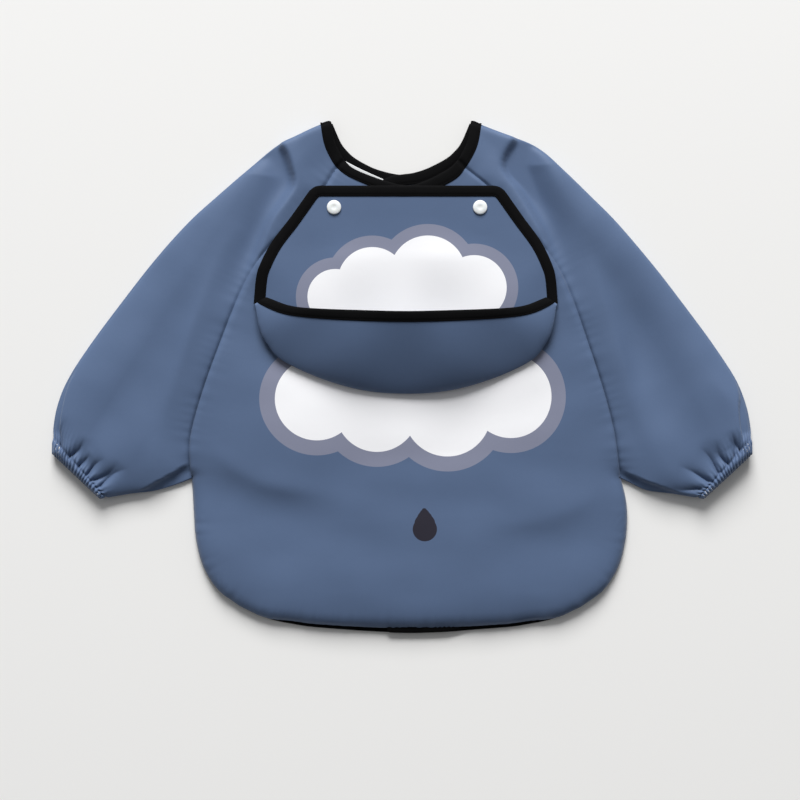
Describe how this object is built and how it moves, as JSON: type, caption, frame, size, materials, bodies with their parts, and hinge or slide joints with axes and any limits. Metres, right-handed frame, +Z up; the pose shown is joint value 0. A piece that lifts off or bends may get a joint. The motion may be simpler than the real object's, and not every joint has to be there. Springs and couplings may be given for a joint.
{
  "type": "toddler's sleeved smock bib",
  "caption": "Child's long-sleeved waterproof smock bib, lying flat, with gathered cuffs, an open back with two flaps, and a food-catcher pocket fastened to the chest by two snaps.",
  "frame": {"origin": "on the table, under the middle of the smock's outline", "axes": "+Z up off the table and out of the chest, +Y towards the neck, +X towards the sleeve that the viewer sees on the right"},
  "size_m": [0.6078, 0.4462, 0.0449],
  "materials": {
    "smock_cloth": "matte coated polyester, slate blue, with a fine plain weave",
    "catcher_cloth": "matte coated polyester, slate blue, slightly stiffer",
    "binding": "matte black ribbed bias tape",
    "elastic": "white braided elastic",
    "closure_tape": "black hook-and-loop tape",
    "label": "blank white woven label",
    "snap": "white moulded plastic snap"
  },
  "bodies": {
    "smock": {"front_panel": "smock_cloth", "neck_binding": "binding", "left_shoulder": "smock_cloth", "left_back_panel": "smock_cloth", "left_hem_binding": "binding", "left_snap_stud": "snap", "left_snap_backing": "snap", "right_shoulder": "smock_cloth", "right_back_panel": "smock_cloth", "right_hem_binding": "binding", "right_snap_stud": "snap", "right_snap_backing": "snap"},
    "left_sleeve": {"left_sleeve": "smock_cloth", "left_cuff_elastic": "elastic"},
    "right_sleeve": {"right_sleeve": "smock_cloth", "right_cuff_elastic": "elastic"},
    "left_flap": {"left_back_flap": "smock_cloth", "left_flap_binding": "binding", "hook_tape": "closure_tape", "care_label": "label"},
    "right_flap": {"right_back_flap": "smock_cloth", "right_flap_binding": "binding", "loop_tape": "closure_tape"},
    "catcher_yoke": {"catcher_top": "catcher_cloth", "catcher_top_binding": "binding", "left_snap_cap": "snap", "left_snap_socket": "snap", "right_snap_cap": "snap", "right_snap_socket": "snap"},
    "catcher": {"catcher_panel": "catcher_cloth", "catcher_pocket": "catcher_cloth", "pocket_rim_binding": "binding", "catcher_left_binding": "binding", "catcher_right_binding": "binding"}
  },
  "joints": [
    {"name": "left_sleeve_fold", "type": "hinge", "parent": "smock", "child": "left_sleeve", "pos_m": [-0.1876, 0, 0.0145], "axis": [0, 1, 0], "range_deg": [0, 150]},
    {"name": "right_sleeve_fold", "type": "hinge", "parent": "smock", "child": "right_sleeve", "pos_m": [0.1876, 0, 0.0145], "axis": [0, -1, 0], "range_deg": [0, 150]},
    {"name": "left_flap_fold", "type": "hinge", "parent": "smock", "child": "left_flap", "pos_m": [-0.064, 0, 0], "axis": [0, 1, 0], "range_deg": [0, 160]},
    {"name": "right_flap_fold", "type": "hinge", "parent": "smock", "child": "right_flap", "pos_m": [0.064, 0, 0], "axis": [0, -1, 0], "range_deg": [0, 80]},
    {"name": "catcher_unsnap", "type": "slide", "parent": "smock", "child": "catcher_yoke", "axis": [0, 0, 1], "range_m": [0, 0.12]},
    {"name": "catcher_flip", "type": "hinge", "parent": "catcher_yoke", "child": "catcher", "pos_m": [0, 0.138, 0.0182], "axis": [-1, 0, 0], "range_deg": [0, 150]}
  ],
  "couplings": [
    {"joint": "right_flap_fold", "follows": "left_flap_fold", "ratio": 0.5}
  ]
}
